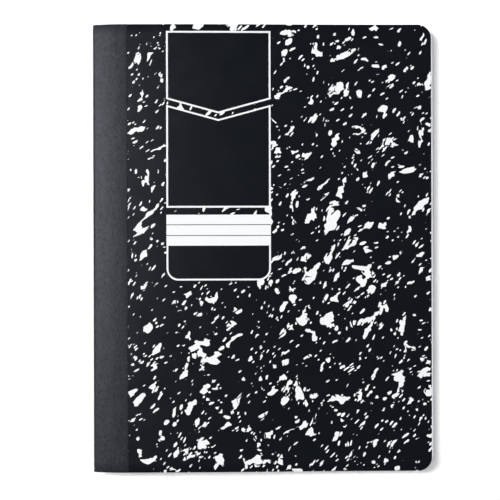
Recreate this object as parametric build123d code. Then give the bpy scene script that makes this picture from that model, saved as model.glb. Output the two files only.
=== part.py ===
from build123d import *
import os
from math import atan, degrees, sin

# A composition notebook, closed: folded leaves sewn through the fold into one pressboard cover, with a
# strip of spine tape glued round the back. Millimetres. +X runs from the spine to the fore-edge, +Y from
# the foot to the head, +Z from the back cover to the front cover. The origin is the centre of the
# overall box, on the plane that the notebook lies on.
#
# Every section is drawn from the spine, at x = 0, and each piece is moved to the shared origin last.

# Overall size
book_height = 247.65          # foot to head
book_width = 190.5            # spine to the back cover's fore-edge
corner_radius = 7.5           # round corners at the fore-edge
fore_edge_lean = 2.9          # how far the front cover's fore-edge falls short of the back cover's

# Sheet goods
tape_thickness = 0.2
tape_on_cover = 19.5          # how far the spine tape reaches onto each cover
board_thickness = 0.6
leaf_thickness = 0.08
leaf_count = 100
cover_gap = 0.3               # air under the front cover, and round the fold of each cover
tape_step_run = 1.0           # past the tape's edge, the back board steps down to lie flush with the tape

# Swell of the sewn folds, seen on the front: a tight nose, a crest, and a long fall to the fore-edge
nose_radius = 2.2             # outside of the tape
crest_x = 20.0                # spine to the highest line
crest_rise = 4.2              # front fold up to the highest line
swell_fall = 3.3              # highest line down to the flat stretch by the fore-edge
flat_stretch = 10.5           # flat stretch of the front, between the fall and the fore-edge

# Sewing
fold_depth = 4.0              # fifty folded leaves, nested, from the nose to the innermost fold
thread_radius = 0.2
stitch_length = 9.2
stitch_margin = 8.0           # least distance from the foot and the head to a needle hole
thread_clearance = 0.1        # round the thread in its holes and in the innermost fold
thread_end_inset = 0.5        # cut end of the thread, in from the foot and the head

# Worked out from the sizes above
board_out = tape_thickness
board_in = tape_thickness + board_thickness
block_top_inset = board_in + cover_gap
block_thickness = leaf_thickness * leaf_count
flat_x = book_width - flat_stretch
flat_z = board_thickness + block_thickness + cover_gap + board_in
front_fold_z = flat_z + swell_fall - crest_rise
back_fold_z = nose_radius
lean_per_z = fore_edge_lean / flat_z
overrun = 10.0                # stock left past the trimmed edges until they are cut
inner_fold_x = board_in + fold_depth
seam_z = (front_fold_z + back_fold_z) / 2
seam_x = board_out + thread_radius + thread_clearance / 2
stitch_count = int((book_height - 2 * stitch_margin) / stitch_length) + 1
hole_radius = thread_radius + thread_clearance


def front_line(inset, end_x):
    """The front's section line, set in from the outside of the tape, from the fold to end_x."""
    haunch_turn = 2 * atan((crest_rise - nose_radius) / (crest_x - nose_radius))
    haunch_radius = nose_radius + (crest_x - nose_radius) / sin(haunch_turn)
    fall_turn = 2 * atan(swell_fall / (flat_x - crest_x))
    fall_radius = (flat_x - crest_x) / (2 * sin(fall_turn))
    nose_turn = 90 - degrees(haunch_turn)
    nose = JernArc((inset, front_fold_z), (0, 1), nose_radius - inset, -nose_turn)
    haunch = JernArc(nose @ 1, nose % 1, haunch_radius - inset, -degrees(haunch_turn))
    fall = JernArc(haunch @ 1, haunch % 1, fall_radius - inset, -degrees(fall_turn))
    foot = JernArc(fall @ 1, fall % 1, fall_radius + inset, degrees(fall_turn))
    return [nose, haunch, fall, foot, Line(foot @ 1, (end_x, (foot @ 1).Y))]


def back_line(inset, end_x):
    """The back's section line, set in from the outside of the tape, from the fold to end_x."""
    nose = JernArc((inset, back_fold_z), (0, -1), nose_radius - inset, 90)
    return [nose, *back_floor(nose @ 1, inset, end_x)]


def back_floor(start, inset, end_x):
    """The flat part of the back's section line. Past the tape, the board and the leaves on it lie lower
    by the tape's thickness."""
    line = Line(start, (min(end_x, tape_on_cover), inset))
    if end_x <= tape_on_cover:
        return [line]
    step = Line(line @ 1, (tape_on_cover + tape_step_run, inset - tape_thickness))
    return [line, step, Line(step @ 1, (end_x, inset - tape_thickness))]


def band(outer, inner):
    """The section between two section lines."""
    return make_face([*outer, Line(outer[-1] @ 1, inner[-1] @ 1), *inner, Line(outer[0] @ 0, inner[0] @ 0)])


def along_spine(section):
    """A section drawn in X and Z, run from the foot to the head."""
    return extrude(Plane.XZ * section, amount=book_height / 2, both=True)


def trimmed_stack():
    """What the guillotine leaves: round fore-edge corners, and a fore-edge that leans to the back."""
    outline = Pos(-overrun, 0) * Rectangle(
        book_width + overrun, book_height, align=(Align.MIN, Align.CENTER)
    )
    corners = outline.vertices().sort_by(Axis.X)[-2:]
    outline = fillet(corners, corner_radius)
    height = flat_z + swell_fall + overrun
    return Solid.extrude(outline.face(), Vector(-lean_per_z * height, 0, height))


def flat_box(x_range, z_range):
    """A box over the whole height of the book."""
    length = x_range[1] - x_range[0]
    thick = z_range[1] - z_range[0]
    centre = Pos((x_range[0] + x_range[1]) / 2, 0, (z_range[0] + z_range[1]) / 2)
    return centre * Box(length, book_height, thick)


def stitch_places():
    """The needle holes, evenly spaced about the middle of the spine."""
    first = -stitch_length * (stitch_count - 1) / 2
    return [first + stitch_length * i for i in range(stitch_count)]


def rod_across(radius, start_x, end_x, y):
    """A round rod along X at the height of the seam."""
    middle = Pos((start_x + end_x) / 2, y, seam_z)
    return middle * Rot(0, 90, 0) * Cylinder(radius, end_x - start_x)


def rod_along(radius, x, length):
    """A round rod along the spine at the height of the seam."""
    return Pos(x, 0, seam_z) * Rot(90, 0, 0) * Cylinder(radius, length)


def needle_holes():
    """Holes from the outside of the spine board to the innermost fold."""
    return [rod_across(hole_radius, 0, inner_fold_x, y) for y in stitch_places()]


def front_cover():
    end_x = book_width + overrun
    section = band(front_line(board_out, end_x), front_line(board_in, end_x))
    return along_spine(section) & trimmed_stack()


def front_tape():
    section = band(front_line(0, book_width), front_line(board_out, book_width))
    return along_spine(section) & flat_box((-overrun, tape_on_cover), (0, flat_z + swell_fall + overrun))


def back_cover():
    end_x = book_width + overrun
    section = band(back_line(board_out, end_x), back_line(board_in, end_x))
    return along_spine(section) & trimmed_stack()


def back_tape():
    return along_spine(band(back_line(0, tape_on_cover), back_line(board_out, tape_on_cover)))


def spine_board():
    """The stretch of the cover between the two folds, with a groove that the outer thread sinks into."""
    board = flat_box((board_out, board_in), (back_fold_z, front_fold_z))
    groove_depth = 2 * thread_radius + thread_clearance / 2
    groove = flat_box(
        (board_out, board_out + groove_depth), (seam_z - hole_radius, seam_z + hole_radius)
    )
    return board - groove - needle_holes()


def spine_tape():
    return flat_box((0, tape_thickness), (back_fold_z, front_fold_z))


def page_block():
    """All the leaves as one solid. Its nose lies on the spine board, and its foot is rounder than the
    back cover's fold, which leaves that fold free to turn."""
    end_x = book_width + overrun
    top = front_line(block_top_inset, end_x)
    foot_radius = nose_radius
    foot = JernArc((board_in, board_in + foot_radius), (0, -1), foot_radius, 90)
    floor = back_floor(foot @ 1, board_in, end_x)
    section = make_face(
        [
            foot,
            *floor,
            Line(floor[-1] @ 1, top[-1] @ 1),
            *top,
            Line(top[0] @ 0, (board_in, front_fold_z - cover_gap)),
            Line((board_in, front_fold_z - cover_gap), foot @ 0),
        ]
    )
    innermost_fold = rod_along(thread_radius + 2 * thread_clearance, inner_fold_x, book_height)
    return (along_spine(section) & trimmed_stack()) - innermost_fold - needle_holes()


def binding_thread():
    """The lockstitch seam: one run along the spine board, one along the innermost fold, and a leg
    through each needle hole."""
    length = book_height - 2 * thread_end_inset
    runs = rod_along(thread_radius, seam_x, length) + rod_along(thread_radius, inner_fold_x, length)
    leg_radius = thread_radius - thread_clearance / 4
    return runs + [rod_across(leg_radius, seam_x, inner_fold_x, y) for y in stitch_places()]


pieces = {
    "front_cover": front_cover(),
    "front_tape": front_tape(),
    "spine_board": spine_board(),
    "spine_tape": spine_tape(),
    "back_cover": back_cover(),
    "back_tape": back_tape(),
    "page_block": page_block(),
    "binding_thread": binding_thread(),
}

os.makedirs("parts", exist_ok=True)
for name, piece in pieces.items():
    export_step(Pos(-book_width / 2, 0, 0) * piece, f"parts/{name}.step")
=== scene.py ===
import math
import random

import bmesh
import bpy
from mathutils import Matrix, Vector


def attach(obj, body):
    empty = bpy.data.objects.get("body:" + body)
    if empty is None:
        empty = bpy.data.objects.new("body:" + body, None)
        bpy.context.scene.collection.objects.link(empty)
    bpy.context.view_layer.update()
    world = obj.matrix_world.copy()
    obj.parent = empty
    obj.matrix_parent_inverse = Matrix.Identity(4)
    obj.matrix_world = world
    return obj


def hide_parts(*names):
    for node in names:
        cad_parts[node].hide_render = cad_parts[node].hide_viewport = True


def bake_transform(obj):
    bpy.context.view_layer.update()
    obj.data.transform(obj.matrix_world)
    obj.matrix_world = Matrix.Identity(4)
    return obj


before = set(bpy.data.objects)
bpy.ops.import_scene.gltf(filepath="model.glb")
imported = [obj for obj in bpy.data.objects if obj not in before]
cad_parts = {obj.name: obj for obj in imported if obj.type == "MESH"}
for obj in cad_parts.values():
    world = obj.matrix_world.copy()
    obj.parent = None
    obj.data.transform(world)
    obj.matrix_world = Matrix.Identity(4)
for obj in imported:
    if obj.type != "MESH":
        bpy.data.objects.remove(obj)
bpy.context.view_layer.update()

MM = 0.001

# Sizes of the notebook, in millimetres. X runs from the spine to the fore-edge, Y from the foot to
# the head and Z from the back cover up. Sections are drawn with x = 0 at the spine and moved last.
HEIGHT = 247.65
WIDTH = 190.5
CORNER = 7.5                  # round corners at the fore-edge
LEAN = 2.9                    # how far the front cover's fore-edge falls short of the back cover's
TAPE = 0.2                    # thickness of the spine tape
BOARD = 0.6                   # thickness of the cover
TAPE_REACH = 19.5             # spine tape on each cover
STEP_RUN = 1.0                # ramp of the back board beside the tape
LEAVES = 100
LEAF = 0.08                   # thickness of a leaf
COVER_GAP = 0.3               # air under the front cover
NOSE = 2.2                    # radius of the cover's two folds
CREST_X = 20.0                # spine to the highest line of the front
CREST_RISE = 4.2              # front fold up to the highest line
SWELL = 3.3                   # highest line down to the flat stretch by the fore-edge
FLAT_STRETCH = 10.5
FOLD_DEPTH = 4.0              # of the nested sheets, at the spine
FLAT_X = WIDTH - FLAT_STRETCH
FLAT_Z = BOARD + LEAVES * LEAF + COVER_GAP + TAPE + BOARD
FRONT_FOLD_Z = FLAT_Z + SWELL - CREST_RISE
BACK_FOLD_Z = NOSE
SEAM_Z = (FRONT_FOLD_Z + BACK_FOLD_Z) / 2
INNER_FOLD_X = TAPE + BOARD + FOLD_DEPTH
INNER_FOLD_RADIUS = 0.4
LEAN_PER_Z = LEAN / FLAT_Z

HAUNCH_TURN = 2 * math.atan((CREST_RISE - NOSE) / (CREST_X - NOSE))
HAUNCH_RADIUS = NOSE + (CREST_X - NOSE) / math.sin(HAUNCH_TURN)
FALL_TURN = 2 * math.atan(SWELL / (FLAT_X - CREST_X))
FALL_RADIUS = (FLAT_X - CREST_X) / (2 * math.sin(FALL_TURN))
QUARTER = math.pi / 2

# Mesh density, in steps
CORNER_STEPS = 12
SPINE_STEPS = 6               # from the seam to a fold
NOSE_STEPS = 16
HAUNCH_STEPS = 20
FALL_STEPS = 24               # for each of the two arcs of the fall
RUN_STEPS = 40                # along a leaf, from the fold to the round corner
COLUMNS = 48                  # along the height of the book
SHARP_ANGLE = 35              # degrees between faces, above which an edge is shaded sharp


# ---------------------------------------------------------------- section lines
class Line:
    """A section line in x and z, which starts at a point with a heading and grows by arcs and
    straights."""

    def __init__(self, x, z, heading):
        self.points = [(x, z)]
        self.heading = heading

    def arc(self, radius, turn, steps):
        x, z = self.points[-1]
        side = math.copysign(radius, turn)
        centre_x = x - side * math.sin(self.heading)
        centre_z = z + side * math.cos(self.heading)
        for i in range(1, steps + 1):
            h = self.heading + turn * i / steps
            self.points.append((centre_x + side * math.sin(h), centre_z - side * math.cos(h)))
        self.heading += turn
        return self

    def to(self, x, z, steps):
        x0, z0 = self.points[-1]
        for i in range(1, steps + 1):
            f = i / steps
            self.points.append((x0 + (x - x0) * f, z0 + (z - z0) * f))
        return self


def trim_edge(z):
    """Where the slanted guillotine cut meets this height."""
    return WIDTH - LEAN_PER_Z * z


def with_corner(line):
    """The line as rows (x, z, half height), run on through the round fore-edge corner."""
    z = line.points[-1][1]
    start = trim_edge(z) - CORNER
    line.to(start, z, steps=3)
    rows = [(x, z, HEIGHT / 2) for x, z in line.points]
    for i in range(1, CORNER_STEPS + 1):
        turn = QUARTER * i / CORNER_STEPS
        rows.append(
            (start + CORNER * math.sin(turn), z, HEIGHT / 2 - CORNER + CORNER * math.cos(turn))
        )
    return rows


def front_haunch(line, inset, stop_x):
    """Nose and haunch of the front, up to stop_x, which isn't past the crest."""
    line.arc(NOSE - inset, -(QUARTER - HAUNCH_TURN), NOSE_STEPS)
    radius = HAUNCH_RADIUS - inset
    left = math.asin((CREST_X - stop_x) / radius)
    return line.arc(radius, -(HAUNCH_TURN - left), HAUNCH_STEPS)


def front_fall(line, inset):
    line.arc(FALL_RADIUS - inset, -FALL_TURN, FALL_STEPS)
    return line.arc(FALL_RADIUS + inset, FALL_TURN, FALL_STEPS)


def front_board_line(inset):
    line = Line(inset, SEAM_Z, QUARTER).to(inset, FRONT_FOLD_Z, SPINE_STEPS)
    return with_corner(front_fall(front_haunch(line, inset, CREST_X), inset))


def front_tape_line(inset):
    line = Line(inset, SEAM_Z, QUARTER).to(inset, FRONT_FOLD_Z, SPINE_STEPS)
    return [(x, z, HEIGHT / 2) for x, z in front_haunch(line, inset, TAPE_REACH).points]


def back_nose(inset):
    line = Line(inset, SEAM_Z, -QUARTER).to(inset, BACK_FOLD_Z, SPINE_STEPS)
    return line.arc(NOSE - inset, QUARTER, NOSE_STEPS)


def back_floor(line, z):
    """From the fold to just before the round corner. Past the tape the board lies lower by the
    tape's thickness."""
    before_corner = WIDTH - CORNER - 1.0
    line.to(TAPE_REACH, z, steps=6).to(TAPE_REACH + STEP_RUN, z - TAPE, steps=3)
    return line.to(before_corner, z - TAPE, steps=24)


def back_board_line(inset):
    return with_corner(back_floor(back_nose(inset), inset))


def back_tape_line(inset):
    return [(x, z, HEIGHT / 2) for x, z in back_nose(inset).to(TAPE_REACH, inset, steps=8).points]


# ---------------------------------------------------------------- meshes
def column_shares(count):
    """Places across a row, from -1 at the foot to 1 at the head."""
    return [2 * i / count - 1 for i in range(count + 1)]


def place_of(x, y, z):
    """A point in the shared frame, in metres."""
    return ((x - WIDTH / 2) * MM, y * MM, z * MM)


def new_object(name, bm):
    bmesh.ops.recalc_face_normals(bm, faces=bm.faces)
    mesh = bpy.data.meshes.new(name)
    bm.to_mesh(mesh)
    bm.free()
    for polygon in mesh.polygons:
        polygon.use_smooth = True
    mesh.set_sharp_from_angle(angle=math.radians(SHARP_ANGLE))
    thing = bpy.data.objects.new(name, mesh)
    bpy.context.scene.collection.objects.link(thing)
    return thing


def keep_rest_place(thing, depth=None):
    """Keeps each point's place at rest, which its pattern follows when the piece bends. A depth
    stands in for z, so that the pattern is flat and each side of the notebook has a stretch of its
    own."""
    rest = thing.data.attributes.new("rest", "FLOAT_VECTOR", "POINT")
    for point, value in zip(thing.data.vertices, rest.data):
        x, y, z = point.co
        value.vector = (x, y, z if depth is None else depth)


OUTSIDE, EDGE, INSIDE = 0, 1, 2


def slab(name, outer, inner, rounding, materials):
    """A closed sheet between two lines of rows, with its trimmed edges rounded. The row at the
    middle of the spine is left sharp, because the other half of the sheet goes on from there."""
    bm = bmesh.new()

    def grid(rows):
        return [
            [bm.verts.new(place_of(x, half * share, z)) for share in column_shares(COLUMNS)]
            for x, z, half in rows
        ]

    def strip(a, b, material):
        for i in range(len(a) - 1):
            face = bm.faces.new((a[i], a[i + 1], b[i + 1], b[i]))
            face.material_index = material

    top, bottom = grid(outer), grid(inner)
    for rows, material in ((top, OUTSIDE), (bottom, INSIDE)):
        for a, b in zip(rows, rows[1:]):
            strip(a, b, material)
    rims = [
        ([row[0] for row in top], [row[0] for row in bottom]),
        (top[-1], bottom[-1]),
        ([row[-1] for row in top], [row[-1] for row in bottom]),
    ]
    for a, b in rims:
        strip(a, b, EDGE)
    strip(top[0], bottom[0], EDGE)
    rim_lines = [line for rim in rims for line in rim]
    rim_edges = [bm.edges.get(pair) for line in rim_lines for pair in zip(line, line[1:])]
    # The bevel only closes up where neighbouring faces agree on which side is out.
    bmesh.ops.recalc_face_normals(bm, faces=bm.faces)
    bmesh.ops.bevel(
        bm, geom=rim_edges, offset=rounding * MM, segments=2, profile=0.5, affect="EDGES",
        clamp_overlap=True, material=-1,
    )
    thing = new_object(name, bm)
    for material in materials:
        thing.data.materials.append(material)
    return thing


def lerp(a, b, share):
    return a + (b - a) * share


def height_at(points, x):
    """Height of a line, whose x rises, at this x."""
    for (x0, z0, *_), (x1, z1, *_) in zip(points, points[1:]):
        if x <= x1 and x1 > x0:
            return lerp(z0, z1, (x - x0) / (x1 - x0))
    return points[-1][1]


# ---------------------------------------------------------------- the leaves
SHEETS = LEAVES // 2
LOWER, FOLD, UPPER = 0, 1, 2


def page_stations():
    """Stations along the leaves, from the fore-edge under the fold and back over it. Each is a dict
    with a point of the outermost sheet and of the innermost one, and the way out of the trimmed
    edge there."""
    inset = TAPE + BOARD + COVER_GAP
    base = TAPE + BOARD
    foot = Line(base, base + NOSE, -QUARTER).arc(NOSE, QUARTER, steps=14)
    flank = Line(base, base + NOSE, QUARTER).to(base, FRONT_FOLD_Z - COVER_GAP, steps=5)
    nose = Line(inset, FRONT_FOLD_Z, QUARTER)
    nose.arc(NOSE - inset, -(QUARTER - HAUNCH_TURN), NOSE_STEPS)
    fold = foot.points[:0:-1] + flank.points + nose.points
    floor = back_floor(Line(base + NOSE, base, 0), base).points
    crest = front_haunch(Line(inset, FRONT_FOLD_Z, QUARTER), inset, CREST_X)
    roof = front_fall(crest, inset).points
    tongue = INNER_FOLD_X + INNER_FOLD_RADIUS
    blend_run = 15.0              # over which the innermost leaves rise to the block's middle
    crowding = 1.6                # of the stations towards the fold

    def middle(x):
        share = min(max((x - tongue) / blend_run, 0.0), 1.0)
        share = share * share * (3 - 2 * share)
        return lerp(SEAM_Z, (BOARD + height_at(roof, x)) / 2, share)

    def corner(turn, outline, part):
        """A station on the round corner, turned this far from the head towards the fore-edge."""
        ends = []
        for z in (outline[-1][1], middle(WIDTH)):
            ends.append((trim_edge(z) - CORNER + CORNER * math.sin(turn), z))
        half = HEIGHT / 2 - CORNER + CORNER * math.cos(turn)
        out = (math.sin(turn), math.cos(turn))
        return dict(ends=ends, half=half, out=out, part=part, turn=turn)

    def run(share, outline, part):
        """A station on the long run, this share of the way from the fold to the corner."""
        first = fold[-1][0] if part == UPPER else base + NOSE
        outer_x = lerp(first, trim_edge(outline[-1][1]) - CORNER, share)
        inner_x = lerp(tongue, trim_edge(middle(WIDTH)) - CORNER, share)
        ends = [(outer_x, height_at(outline, outer_x)), (inner_x, middle(inner_x))]
        return dict(ends=ends, half=HEIGHT / 2, out=(0, 1), part=part, turn=0)

    corners = [QUARTER * i / CORNER_STEPS for i in range(CORNER_STEPS, 0, -1)]
    shares = [(i / RUN_STEPS) ** crowding for i in range(RUN_STEPS, -1, -1)]
    lower = [corner(turn, floor, LOWER) for turn in corners]
    lower += [run(share, floor, LOWER) for share in shares]
    upper = [run(share, roof, UPPER) for share in shares[::-1]]
    upper += [corner(turn, roof, UPPER) for turn in corners[::-1]]
    around = []
    for i, point in enumerate(fold[:-1]):
        turn = 2 * math.pi * (i + 1) / len(fold)
        inner = (
            INNER_FOLD_X + INNER_FOLD_RADIUS * math.cos(turn),
            SEAM_Z - INNER_FOLD_RADIUS * math.sin(turn),
        )
        around.append(dict(ends=[point, inner], half=HEIGHT / 2, out=(0, 1), part=FOLD, turn=0))
    return lower + around + upper


def page_levels():
    """Levels through the thickness, from the outermost sheet in: (share, groove, sheet). Each sheet
    has a flat edge with a groove after it."""
    flat_from, flat_to = 0.1, 0.9
    levels = [(0.0, False, 0)]
    for sheet in range(SHEETS):
        if sheet:
            levels.append(((sheet + flat_from) / SHEETS, False, sheet))
        levels.append(((sheet + flat_to) / SHEETS, False, sheet))
        levels.append(((sheet + 1) / SHEETS, True, sheet))
    return levels


def pages(name, materials):
    """All the leaves as one closed solid, with the edge of every sheet on its three trimmed
    sides."""
    groove_depth = 0.03
    unevenness = 0.03
    set_back = 0.4                # of the last leaf from the back cover's fore-edge
    merge_distance = 2e-7         # metres
    least_area = 1e-14            # square metres
    chance = random.Random(11)
    stations = page_stations()
    levels = page_levels()
    steps = {side: [unevenness * chance.random() for _ in range(SHEETS)] for side in "htlu"}

    def place(station, level, end):
        """A point on the trimmed edge. end is -1 at the foot and 1 at the head."""
        share, groove, sheet = level
        (ox, oz), (ix, iz) = station["ends"]
        side = "l" if station["part"] == LOWER else "u"
        along = steps["h" if end > 0 else "t"][sheet]
        fore_edge = math.sin(station["turn"]) ** 2
        inset = lerp(along, steps[side][sheet], fore_edge)
        if groove:
            inset = unevenness + groove_depth
        if side == "l":
            inset += set_back * (1 - share) * fore_edge
        out_x, out_y = station["out"]
        x = lerp(ox, ix, share) - inset * out_x
        return x, end * (station["half"] - inset * out_y), lerp(oz, iz, share)

    def depth(station, share, progress):
        """Depth through the block as it would be if the leaves lay flat."""
        sunk = share * SHEETS * LEAF
        from_top = LEAVES * LEAF - sunk
        around = lerp(sunk, from_top, progress)
        return {LOWER: sunk, UPPER: from_top, FOLD: around}[station["part"]]

    bm = bmesh.new()
    depth_layer = bm.verts.layers.float.new("depth")
    fold_at = [i for i, s in enumerate(stations) if s["part"] == FOLD]
    first_fold, last_fold = fold_at[0] - 1, fold_at[-1] + 1

    def vertex(point, deep):
        v = bm.verts.new(place_of(*point))
        v[depth_layer] = deep * MM
        return v

    def depth_of(i, share):
        progress = (i - first_fold) / (last_fold - first_fold)
        return depth(stations[i], share, progress)

    def fill(rows, material):
        for a, b in zip(rows, rows[1:]):
            for i in range(len(a) - 1):
                face = bm.faces.new((a[i], a[i + 1], b[i + 1], b[i]))
                face.material_index = material

    wall, first_page, last_page = 0, 1, 2
    for end in (-1, 1):
        rows = [
            [
                vertex(place(station, level, end), depth_of(i, level[0]))
                for i, station in enumerate(stations)
            ]
            for level in levels
        ]
        fill(rows, wall)
    columns = column_shares(COLUMNS // 2)

    def across(i, level):
        """The row of points from the foot to the head at one station."""
        a, b = place(stations[i], level, -1), place(stations[i], level, 1)
        deep = depth_of(i, level[0])
        return [vertex([lerp(p, q, (f + 1) / 2) for p, q in zip(a, b)], deep) for f in columns]

    for i in (0, len(stations) - 1):
        fill([across(i, level) for level in levels], wall)
    skin = [across(i, levels[0]) for i in range(len(stations))]
    for i in range(len(stations) - 1):
        part = stations[i + 1]["part"]
        fill(skin[i:i + 2], {LOWER: last_page, UPPER: first_page, FOLD: wall}[part])
    fill([across(i, levels[-1]) for i in range(first_fold, last_fold + 1)], wall)
    bmesh.ops.remove_doubles(bm, verts=bm.verts, dist=merge_distance)
    slivers = [face for face in bm.faces if face.calc_area() < least_area]
    bmesh.ops.delete(bm, geom=slivers, context="FACES")
    thing = new_object(name, bm)
    for material in materials:
        thing.data.materials.append(material)
    return thing


# ---------------------------------------------------------------- materials
class Tree:
    """A short way to write the nodes of a material or a world: each call adds one node and gives
    its main output."""

    def __init__(self, owner, end="ShaderNodeOutputMaterial"):
        owner.use_nodes = True
        self.owner = owner
        self.tree = owner.node_tree
        self.tree.nodes.clear()
        self.end = self.tree.nodes.new(end)

    def finish(self, shader):
        """Makes this shader the surface, and gives the material or the world."""
        self.tree.links.new(shader, self.end.inputs["Surface"])
        return self.owner

    def join(self, socket, value):
        if isinstance(value, bpy.types.NodeSocket):
            self.tree.links.new(value, socket)
        else:
            socket.default_value = value

    def node(self, kind, inputs=(), out=0, **settings):
        made = self.tree.nodes.new(kind)
        for key, value in settings.items():
            setattr(made, key, value)
        for key, value in dict(inputs).items():
            self.join(made.inputs[key], value)
        return made.outputs[out]

    def math(self, operation, *values):
        return self.node("ShaderNodeMath", enumerate(values), operation=operation)

    def vector(self, operation, *values):
        return self.node("ShaderNodeVectorMath", enumerate(values), operation=operation)

    def scaled(self, vector, factor):
        values = {0: vector, "Scale": factor}
        return self.node("ShaderNodeVectorMath", values, operation="SCALE")

    def rest(self):
        """The point's place before anything bent it, in metres."""
        return self.node("ShaderNodeAttribute", out="Vector", attribute_name="rest")

    def parts_of(self, vector):
        split = self.node("ShaderNodeSeparateXYZ", {0: vector}).node
        return split.outputs[0], split.outputs[1], split.outputs[2]

    def turned(self, vector, angle, shift=0.0):
        values = {
            "Vector": vector,
            "Rotation": (0, 0, math.radians(-angle)),
            "Location": (shift, shift * 0.7, 0),
        }
        return self.node("ShaderNodeMapping", values, vector_type="POINT")

    def noise(self, vector, size, detail=2.0, roughness=0.5, out="Fac"):
        values = {"Vector": vector, "Scale": 1 / size, "Detail": detail, "Roughness": roughness}
        return self.node("ShaderNodeTexNoise", values, out=out)

    def voronoi(self, vector, size, feature="F1", metric="EUCLIDEAN"):
        values = {"Vector": vector, "Scale": 1 / size, "Randomness": 1.0}
        return self.node(
            "ShaderNodeTexVoronoi", values, out="Distance", feature=feature, distance=metric
        )

    def ramp(self, value, low, high, a=0.0, b=1.0):
        values = {"Value": value, "From Min": low, "From Max": high, "To Min": a, "To Max": b}
        return self.node("ShaderNodeMapRange", values, clamp=True)

    def mix(self, factor, a, b):
        """A colour between two. The node's sockets share their names, so they go by number."""
        return self.node("ShaderNodeMix", {"Factor": factor, 6: a, 7: b}, out=2, data_type="RGBA")

    def between(self, factor, a, b):
        """A number between two, also by number."""
        return self.node("ShaderNodeMix", {"Factor": factor, 2: a, 3: b}, data_type="FLOAT")

    def bump(self, height, depth, under=None):
        """A bump this deep, in metres, for a height from 0 to 1, over another bump."""
        values = {"Height": height, "Distance": depth, "Strength": 1.0}
        if under is not None:
            values["Normal"] = under
        return self.node("ShaderNodeBump", values)

    def surface(self, color, roughness, normal=None, **constants):
        values = {"Base Color": color, "Roughness": roughness}
        if normal is not None:
            values["Normal"] = normal
        values.update({key.replace("_", " "): value for key, value in constants.items()})
        return self.finish(self.node("ShaderNodeBsdfPrincipled", values))


def new_material(name):
    return Tree(bpy.data.materials.new(name))


def color(red, green, blue):
    """A colour as it looks on a screen, from 0 to 255."""
    def linear(value):
        value /= 255
        return value / 12.92 if value <= 0.04045 else ((value + 0.055) / 1.055) ** 2.4

    return (linear(red), linear(green), linear(blue), 1.0)


def warped(t, place, size, amount, detail=1.0):
    """place pushed about by noise of this grain size, by up to about this amount."""
    push = t.vector("SUBTRACT", t.noise(place, size, detail=detail, out="Color"), (0.5, 0.5, 0.5))
    return t.vector("ADD", place, t.scaled(push, 2 * amount))


def drawn_out(t, place, stretch, angle, shift):
    """place turned to this angle and squeezed along it, which stretches a pattern that way."""
    root = math.sqrt(stretch)
    return t.vector("MULTIPLY", t.turned(place, angle, shift), (1 / root, root, 1.0))


# Kinds of fleck: size of a cell in millimetres, share of the cells that hold a fleck where flecks
# are sparse and where they are crowded, least and most radius in millimetres, how far a fleck is
# drawn out, at what angle in degrees, and a shift that gives each kind a pattern of its own
MID_FLECKS = (6.0, (0.28, 0.66), (0.75, 2.7), 2.0, 47, 0.77)
SMALL_FLECKS = (3.5, (0.34, 0.68), (0.48, 1.25), 2.5, 50, 0.13)
TINY_FLECKS = (3.1, (0.18, 0.38), (0.5, 0.8), 2.3, 40, 0.53)
SMALL_ARE_COMMON = 1.6        # the higher, the more flecks are near the least radius
BIG_FLECK_GRAIN = 7.5         # of the noise whose peaks are the big flecks
BIG_FLECK_STRETCH = 1.5
BIG_FLECK_ANGLE = 48
BIG_FLECK_SHIFT = 0.31
BIG_FLECK_REACH = 14.0        # turns a height of that noise into a distance in millimetres
CROWDING_GRAIN = 34.0         # of the change between sparse and crowded
CROWDING_AT_FOOT = 0.03       # how much more crowded at the foot, and less at the head
FLECK_SOFTNESS = 0.03         # half the width of a fleck's edge


def spots(t, place, crowded, kind, metric="EUCLIDEAN"):
    """Above 0 inside the flecks of this kind, roughly in metres from their outline."""
    cell, shares, radii, stretch, angle, shift = kind
    cell = cell * MM
    least, most = (radius * MM for radius in radii)
    share = t.ramp(crowded, 0.0, 1.0, *shares)
    distance = t.voronoi(drawn_out(t, place, stretch, angle, shift), cell, metric=metric)
    draw = t.node("ShaderNodeSeparateColor", {0: distance.node.outputs["Color"]})
    rank = t.math("DIVIDE", t.math("SUBTRACT", draw, t.math("SUBTRACT", 1.0, share)), share)
    size = t.math("POWER", t.math("MAXIMUM", rank, 0.0), SMALL_ARE_COMMON)
    radius = t.math("MULTIPLY_ADD", size, most - least, least)
    bare = t.math("LESS_THAN", rank, 0.0)
    radius = t.math("MULTIPLY_ADD", bare, -cell, radius)
    return t.math("SUBTRACT", radius, t.math("MULTIPLY", distance, cell))


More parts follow.
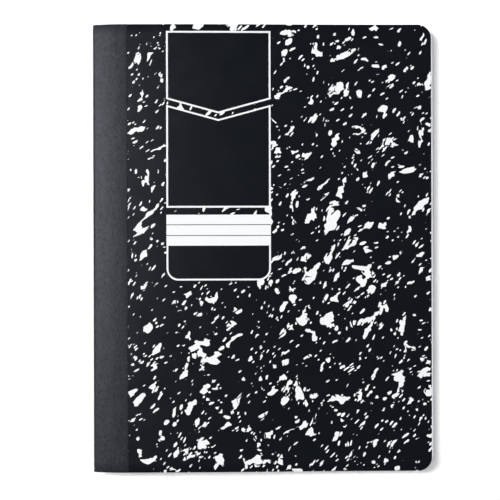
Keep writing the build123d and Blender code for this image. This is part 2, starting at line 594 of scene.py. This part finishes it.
def marbling(t):
    """1 on the white flecks and 0 on the black ground of the cover."""
    place = t.rest()
    # One wide warp carries every kind of fleck. Finer ones make all but the tiny flecks ragged.
    swirl = warped(t, place, 30 * MM, 9 * MM)
    bent = warped(t, swirl, 4.2 * MM, 1.7 * MM, detail=2.0)
    soft = warped(t, swirl, 2.4 * MM, 0.55 * MM)
    _, y, _ = t.parts_of(place)
    denser_low = t.ramp(
        y, -HEIGHT / 2 * MM, HEIGHT / 2 * MM, CROWDING_AT_FOOT, -CROWDING_AT_FOOT
    )
    patches = t.noise(place, CROWDING_GRAIN * MM, detail=1.0)
    crowded = t.ramp(t.math("ADD", patches, denser_low), 0.38, 0.62)
    level = t.math("MULTIPLY_ADD", crowded, -0.05, 0.66)
    along = drawn_out(t, bent, BIG_FLECK_STRETCH, BIG_FLECK_ANGLE, BIG_FLECK_SHIFT)
    peaks = t.noise(along, BIG_FLECK_GRAIN * MM, detail=1.6)
    big = t.math("MULTIPLY", t.math("SUBTRACT", peaks, level), BIG_FLECK_REACH * MM)
    mid = spots(t, bent, crowded, MID_FLECKS, "MANHATTAN")
    small = spots(t, soft, crowded, SMALL_FLECKS)
    tiny = spots(t, swirl, crowded, TINY_FLECKS)
    # Cuts along the edges of the cells part the big and the middle flecks here and there.
    cell = MID_FLECKS[0] * MM
    edge = t.math("MULTIPLY", t.voronoi(bent, cell, feature="DISTANCE_TO_EDGE"), cell)
    cut = t.ramp(t.noise(place, 9 * MM, detail=0.0), 0.5, 0.66, -0.4 * MM, 0.5 * MM)
    most = t.math("MAXIMUM", big, mid)
    most = t.math("MINIMUM", most, t.math("SUBTRACT", edge, cut))
    most = t.math("MAXIMUM", most, t.math("MAXIMUM", small, tiny))
    return t.ramp(most, -FLECK_SOFTNESS * MM, FLECK_SOFTNESS * MM)


# The label's frame, in millimetres: across from the spine, and down from the head
LABEL_MIDDLE = 69.7
LABEL_HALF = 28.85
LABEL_LINE = 1.0
TOP_PANEL = (3.75, 41.4)
CHEVRON = 7.9
MIDDLE_PANEL = (44.6, 101.4)
RULED_FIELD = (105.3, 122.4)
RULES = (110.85, 116.8)
RULE_WIDTH = 0.43
BOTTOM_PANEL_END = 141.65
BOTTOM_CORNER = 6.6
LABEL_SOFTNESS = 0.04         # half the width of a line's soft edge


def label(t):
    """(1 inside the label's panels, 1 on their white outlines and the ruled field, 1 on the field's
    thin rules)."""
    x, y, _ = t.parts_of(t.rest())
    across = t.math("ABSOLUTE", t.math("SUBTRACT", x, (LABEL_MIDDLE - WIDTH / 2) * MM))
    down = t.math("SUBTRACT", HEIGHT / 2 * MM, y)
    side = t.math("SUBTRACT", LABEL_HALF * MM, across)
    inward = t.math("SUBTRACT", 1.0, t.math("DIVIDE", across, LABEL_HALF * MM))
    dip = t.math("MULTIPLY", inward, CHEVRON * MM)

    def below(edge, extra=0.0):
        return t.math("SUBTRACT", down, t.math("ADD", edge * MM, extra))

    def above(edge, extra=0.0):
        return t.math("SUBTRACT", t.math("ADD", edge * MM, extra), down)

    def within(*distances):
        least = distances[0]
        for other in distances[1:]:
            least = t.math("MINIMUM", least, other)
        return least

    def solid(distance):
        return t.ramp(distance, -LABEL_SOFTNESS * MM, LABEL_SOFTNESS * MM)

    top = within(side, below(TOP_PANEL[0]), above(TOP_PANEL[1], dip))
    middle = within(side, below(MIDDLE_PANEL[0], dip), above(MIDDLE_PANEL[1]))
    end = above(BOTTOM_PANEL_END)
    past_x = t.math("MAXIMUM", t.math("SUBTRACT", BOTTOM_CORNER * MM, side), 0.0)
    past_y = t.math("MAXIMUM", t.math("SUBTRACT", BOTTOM_CORNER * MM, end), 0.0)
    squares = (t.math("MULTIPLY", past_x, past_x), t.math("MULTIPLY", past_y, past_y))
    reach = t.math("SQRT", t.math("ADD", *squares))
    rounded = t.math("SUBTRACT", BOTTOM_CORNER * MM, reach)
    bottom = within(rounded, side, end, below(RULED_FIELD[0]))
    panels = t.math("MAXIMUM", t.math("MAXIMUM", top, middle), bottom)
    inside = solid(panels)
    outline = t.math("SUBTRACT", inside, solid(t.math("SUBTRACT", panels, LABEL_LINE * MM)))
    field = solid(within(side, below(RULED_FIELD[0]), above(RULED_FIELD[1])))
    rules = 0.0
    for rule in RULES:
        line = within(side, below(rule - RULE_WIDTH / 2), above(rule + RULE_WIDTH / 2))
        rules = t.math("MAXIMUM", rules, solid(line))
    return inside, t.math("MAXIMUM", outline, field), rules


INK = color(9, 13, 18)
THIN_INK = color(14, 18, 23)
PRINT_WHITE = color(247, 249, 251)
RULE_GRAY = color(62, 65, 70)


def marbled_board(name, with_label):
    """Printed and varnished board: black ground, white marbling, and on the front the label's
    frame."""
    t = new_material(name)
    place = t.rest()
    white = marbling(t)
    if with_label:
        inside, drawn, rules = label(t)
        bare = t.math("SUBTRACT", 1.0, inside)
        white = t.math("MAXIMUM", t.math("MULTIPLY", white, bare), drawn)
    mottle = t.noise(place, 1.1 * MM, detail=3.0)
    ink = t.mix(mottle, INK, THIN_INK)
    paint = t.mix(white, ink, PRINT_WHITE)
    if with_label:
        paint = t.mix(rules, paint, RULE_GRAY)
    peel = t.noise(place, 0.9 * MM, detail=2.0)
    fiber = t.noise(place, 0.16 * MM, detail=2.0)
    swell = t.noise(place, 26 * MM, detail=1.0)
    smear = t.noise(place, 14 * MM, detail=3.0)
    normal = t.bump(swell, 0.02 * MM)
    normal = t.bump(peel, 0.006 * MM, normal)
    normal = t.bump(fiber, 0.0015 * MM, normal)
    roughness = t.ramp(t.math("MULTIPLY_ADD", fiber, 0.3, smear), 0.3, 1.0, 0.22, 0.28)
    return t.surface(paint, roughness, normal, Specular_IOR_Level=0.36)


def board_core_painted_shade(name):
    """The cut edge of the board: pressed gray pulp in thin layers, painted darker than bare pulp as
    painted shade for the shadow along the back board's edge beside the leaves.
    """
    t = new_material(name)
    place = t.rest()
    pulp = t.noise(place, 0.35 * MM, detail=4.0, roughness=0.65)
    speck = t.noise(place, 1.6 * MM, detail=2.0)
    # Painted shade: these grays are darker than bare pulp, so that the board's cut edge also shows
    # the shadow beside the leaf edges.
    paint = t.mix(pulp, color(68, 68, 69), color(104, 103, 102))
    paint = t.mix(t.ramp(speck, 0.45, 0.75, 0.0, 0.35), paint, color(66, 65, 63))
    roughness = t.ramp(pulp, 0.2, 0.8, 0.8, 0.95)
    return t.surface(paint, roughness, t.bump(pulp, 0.03 * MM), Specular_IOR_Level=0.3)


def board_lining(name):
    """The plain inside of the board: uncoated off-white paper with a little tooth."""
    t = new_material(name)
    place = t.rest()
    tooth = t.noise(place, 0.22 * MM, detail=3.0, roughness=0.6)
    cloud = t.noise(place, 3.5 * MM, detail=3.0)
    paint = t.mix(cloud, color(222, 221, 216), color(232, 231, 227))
    roughness = t.ramp(tooth, 0.2, 0.8, 0.72, 0.86)
    return t.surface(paint, roughness, t.bump(tooth, 0.012 * MM), Specular_IOR_Level=0.35)


def tape_cloth(name):
    """Charcoal binding tape with a fine leather grain that runs along the spine."""
    t = new_material(name)
    place = t.rest()
    along = t.vector("MULTIPLY", place, (1.0, 0.33, 1.0))
    grain = t.noise(along, 0.62 * MM, detail=3.0, roughness=0.66)
    pores = t.voronoi(warped(t, along, 0.9 * MM, 0.25 * MM), 0.7 * MM)
    cloud = t.noise(t.vector("MULTIPLY", place, (1.0, 0.3, 1.0)), 4.0 * MM, detail=2.0)
    shade = t.math("MULTIPLY_ADD", cloud, 0.25, t.math("MULTIPLY", grain, 0.85))
    paint = t.mix(t.ramp(shade, 0.38, 0.72), color(19, 20, 24), color(51, 53, 59))
    relief = t.math("SUBTRACT", grain, t.math("MULTIPLY", t.ramp(pores, 0.0, 0.5, 1.0, 0.0), 0.35))
    roughness = t.ramp(grain, 0.25, 0.75, 0.45, 0.38)
    return t.surface(paint, roughness, t.bump(relief, 0.045 * MM), Specular_IOR_Level=0.1)


def tape_core(name):
    """The cut edge and the underside of the tape."""
    t = new_material(name)
    weave = t.noise(t.rest(), 0.2 * MM, detail=3.0)
    paint = t.mix(weave, color(36, 37, 40), color(58, 58, 60))
    roughness = t.ramp(weave, 0.2, 0.8, 0.75, 0.9)
    return t.surface(paint, roughness, t.bump(weave, 0.02 * MM), Specular_IOR_Level=0.3)


PAPER = color(247, 249, 254)
PAPER_DIM = color(225, 228, 239)
PAPER_SHADE = color(224, 227, 236)
RULE_BLUE = color(150, 186, 216)
MARGIN_RED = color(222, 130, 140)
LINE_PITCH = 7.1
LINE_WIDTH = 0.22
LINE_SOFTNESS = 0.06          # from a line's full colour to the bare paper
HEADER = 25.4                 # from the head to the first rule
MARGIN = 31.75                # from the spine to the red line on the first page


def leaf_edges(name):
    """The trimmed edges of the leaves, each a slightly different white."""
    t = new_material(name)
    flat = t.vector("MULTIPLY", t.rest(), (0.02, 0.02, 1.0))
    leaf = t.noise(flat, 0.11 * MM, detail=2.0, roughness=0.7)
    batch = t.noise(flat, 0.9 * MM, detail=2.0)
    dust = t.noise(t.rest(), 0.5 * MM, detail=3.0)
    shade = t.math("ADD", t.math("MULTIPLY", leaf, 0.6), t.math("MULTIPLY", batch, 0.4))
    paint = t.mix(t.ramp(shade, 0.32, 0.68), PAPER_DIM, PAPER)
    paint = t.mix(t.ramp(dust, 0.5, 0.8, 0.0, 0.25), paint, PAPER_SHADE)
    relief = t.math("ADD", leaf, t.math("MULTIPLY", dust, 0.3))
    roughness = t.ramp(dust, 0.2, 0.8, 0.8, 0.9)
    return t.surface(paint, roughness, t.bump(relief, 0.02 * MM), Specular_IOR_Level=0.3)


def ruled_leaf(name, margin_x):
    """A ruled page: pale blue lines below a header, and a red margin line this far from the
    spine."""
    t = new_material(name)
    place = t.rest()
    x, y, _ = t.parts_of(place)

    def line(distance):
        edge = LINE_WIDTH / 2
        return t.ramp(distance, edge * MM, (edge + LINE_SOFTNESS) * MM, 1.0, 0.0)

    down = t.math("SUBTRACT", HEIGHT / 2 * MM, y)
    below = t.math("SUBTRACT", down, HEADER * MM)
    rule = line(t.math("PINGPONG", below, LINE_PITCH / 2 * MM))
    past_header = t.ramp(below, -LINE_PITCH / 2 * MM, (-LINE_PITCH / 2 + 0.1) * MM)
    rule = t.math("MULTIPLY", rule, past_header)
    margin = line(t.math("ABSOLUTE", t.math("SUBTRACT", x, (margin_x - WIDTH / 2) * MM)))
    tooth = t.noise(place, 0.2 * MM, detail=3.0, roughness=0.6)
    cloud = t.noise(place, 6 * MM, detail=3.0)
    paint = t.mix(cloud, color(238, 239, 241), color(244, 245, 246))
    paint = t.mix(rule, paint, RULE_BLUE)
    paint = t.mix(margin, paint, MARGIN_RED)
    roughness = t.ramp(tooth, 0.2, 0.8, 0.76, 0.88)
    return t.surface(paint, roughness, t.bump(tooth, 0.01 * MM), Specular_IOR_Level=0.35)


def cotton(name):
    """Twisted white sewing thread."""
    t = new_material(name)
    place = t.node("ShaderNodeTexCoord", out="Object")
    twist = t.noise(t.turned(place, 35), 0.12 * MM, detail=2.0)
    paint = t.mix(twist, color(205, 203, 196), color(238, 236, 230))
    roughness = t.ramp(twist, 0.2, 0.8, 0.8, 0.95)
    return t.surface(paint, roughness, t.bump(twist, 0.04 * MM), Specular_IOR_Level=0.2)


# ---------------------------------------------------------------- the notebook
core = board_core_painted_shade("board_core_painted_shade")
lining = board_lining("board_lining")
cloth = tape_cloth("spine_tape_cloth")
cloth_edge = tape_core("spine_tape_core")
BACK_DEPTH = 0.5              # keeps the back's marbling apart from the front's
ROUNDING = 0.1
TAPE_ROUNDING = 0.05
FRONT_FOLD = Vector(place_of(0, 0, FRONT_FOLD_Z))
BACK_FOLD = Vector(place_of(0, 0, BACK_FOLD_Z))


def hinged(piece, body, fold, up, slot, *nodes):
    """Bakes the piece's place into its points and hides these nodes, which the piece stands for."""
    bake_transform(piece)
    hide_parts(*nodes)


front_board = slab(
    "front_board", front_board_line(TAPE), front_board_line(TAPE + BOARD), ROUNDING,
    [marbled_board("marbled_board_front", True), core, lining],
)
keep_rest_place(front_board, 0.0)
hinged(front_board, "front_cover", FRONT_FOLD, 1, "marbled_board", "front_cover", "spine_board")

back_board = slab(
    "back_board", back_board_line(TAPE), back_board_line(TAPE + BOARD), ROUNDING,
    [marbled_board("marbled_board_back", False), core, lining],
)
keep_rest_place(back_board, BACK_DEPTH)
hinged(back_board, "back_cover", BACK_FOLD, -1, "marbled_board", "back_cover", "spine_board")

front_strip = slab(
    "front_spine_tape", front_tape_line(0), front_tape_line(TAPE), TAPE_ROUNDING,
    [cloth, cloth_edge, cloth_edge],
)
keep_rest_place(front_strip)
hinged(front_strip, "front_cover", FRONT_FOLD, 1, "spine_tape", "front_tape", "spine_tape")

back_strip = slab(
    "back_spine_tape", back_tape_line(0), back_tape_line(TAPE), TAPE_ROUNDING,
    [cloth, cloth_edge, cloth_edge],
)
keep_rest_place(back_strip)
hinged(back_strip, "back_cover", BACK_FOLD, -1, "spine_tape", "back_tape", "spine_tape")

leaves = pages(
    "leaves",
    [
        leaf_edges("leaf_edges"),
        ruled_leaf("first_page", MARGIN),
        ruled_leaf("last_page", WIDTH - MARGIN),
    ],
)
depths = [value.value for value in leaves.data.attributes["depth"].data]
rest = leaves.data.attributes.new("rest", "FLOAT_VECTOR", "POINT")
for point, value, depth in zip(leaves.data.vertices, rest.data, depths):
    value.vector = (point.co.x, point.co.y, depth)
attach(leaves, "book_block")
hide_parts("page_block")

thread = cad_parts["binding_thread"]
for material_slot in thread.material_slots:
    material_slot.material = cotton("cotton_thread")


# ---------------------------------------------------------------- stage, light and camera
FLOOR_REACH = 4.0               # metres
FLOOR_WHITE = (0.95, 0.95, 0.95, 1.0)
FLOOR_GLOW = (0.14, 1.0)        # beside the notebook, and far off
FLOOR_GLOW_RISE = (0.25, 0.7)   # metres from the middle, over which the glow rises
AROUND_LIGHT = (0.42, 0.05)     # light of the room, level and overhead
BACKDROP = (1.0, 0.12)          # what the camera sees of the room, low and overhead
BACKDROP_FADE = (0.35, 0.8)     # heights between which the backdrop fades
MIRRORED_SHARE = 0.45           # of the backdrop, in reflections


def ray_kinds(t):
    """(1 for what the camera sees, also through a clear surface, 1 for reflections)."""
    path = t.node("ShaderNodeLightPath").node
    seen = t.math(
        "MAXIMUM", path.outputs["Is Camera Ray"], path.outputs["Is Transmission Ray"]
    )
    return seen, path.outputs["Is Glossy Ray"]


def stage_floor():
    """A white floor that reads as plain white to the camera and keeps the notebook's shadow. It
    glows faintly beside the notebook and fully far off, so that no horizon shows."""
    mesh = bpy.data.meshes.new("floor")
    reach = FLOOR_REACH
    corners = [(-reach, -reach, 0), (reach, -reach, 0), (reach, reach, 0), (-reach, reach, 0)]
    mesh.from_pydata(corners, [], [(0, 1, 2, 3)])
    floor = bpy.data.objects.new("floor", mesh)
    bpy.context.scene.collection.objects.link(floor)
    t = new_material("floor")
    lit = t.node("ShaderNodeBsdfDiffuse", {"Color": FLOOR_WHITE})
    place = t.node("ShaderNodeTexCoord", out="Object")
    away = t.node("ShaderNodeVectorMath", {0: place}, out="Value", operation="LENGTH")
    strength = t.ramp(away, *FLOOR_GLOW_RISE, *FLOOR_GLOW)
    seen = t.math("MULTIPLY", t.math("MAXIMUM", *ray_kinds(t)), strength)
    glow = t.node("ShaderNodeEmission", {"Color": (1, 1, 1, 1), "Strength": seen})
    mesh.materials.append(t.finish(t.node("ShaderNodeAddShader", {0: lit, 1: glow})))


def softbox(name, place, size, power, tint=(1.0, 1.0, 1.0), diffuse=True, gloss=True):
    """A lamp turned to the origin, of this size in metres and power in watts. It lights matt
    surfaces, shows in glossy ones, or does both."""
    lamp = bpy.data.lights.new(name, "AREA")
    lamp.color = tint
    lamp.shape = "RECTANGLE"
    lamp.size, lamp.size_y = size
    lamp.energy = power
    thing = bpy.data.objects.new(name, lamp)
    thing.location = place
    thing.rotation_euler = (-Vector(place)).to_track_quat("-Z", "Y").to_euler()
    thing.visible_camera = False
    thing.visible_diffuse = diffuse
    thing.visible_glossy = gloss
    bpy.context.scene.collection.objects.link(thing)


def room():
    """Soft light from all round, dim overhead, and a white backdrop where it is seen, which is
    dimmer in reflections."""
    t = Tree(bpy.data.worlds.new("room"), "ShaderNodeOutputWorld")
    _, _, up = t.parts_of(t.node("ShaderNodeTexCoord", out="Generated"))
    light = t.ramp(up, 0.0, 1.0, *AROUND_LIGHT)
    backdrop = t.ramp(up, *BACKDROP_FADE, *BACKDROP)
    seen, mirrored = ray_kinds(t)
    strength = t.between(mirrored, light, t.math("MULTIPLY", backdrop, MIRRORED_SHARE))
    strength = t.between(seen, strength, backdrop)
    glow = t.node("ShaderNodeBackground", {"Color": (1, 1, 1, 1), "Strength": strength})
    bpy.context.scene.world = t.finish(glow)


def camera():
    """Straight above the cover, a little to the left of its middle."""
    view = bpy.data.cameras.new("camera")
    view.sensor_width = 36.0
    view.lens = 78.28
    view.clip_start = 0.01
    thing = bpy.data.objects.new("camera", view)
    thing.location = (-8.3 * MM, -1.04 * MM, 613 * MM)
    thing.rotation_euler = (0, 0, math.radians(-0.15))
    bpy.context.scene.collection.objects.link(thing)
    bpy.context.scene.camera = thing


stage_floor()
softbox("key", (-1.08, 0.48, 1.9), (0.45, 0.65), 45.0, gloss=False)
softbox("fill", (1.5, 0.0, 0.22), (1.0, 0.3), 16.0)
softbox("shine", (-1.44, 0.27, 1.75), (0.8, 1.6), 92.0, (0.94, 1.0, 1.08), diffuse=False)
room()
camera()
bpy.context.scene.view_settings.view_transform = "Standard"
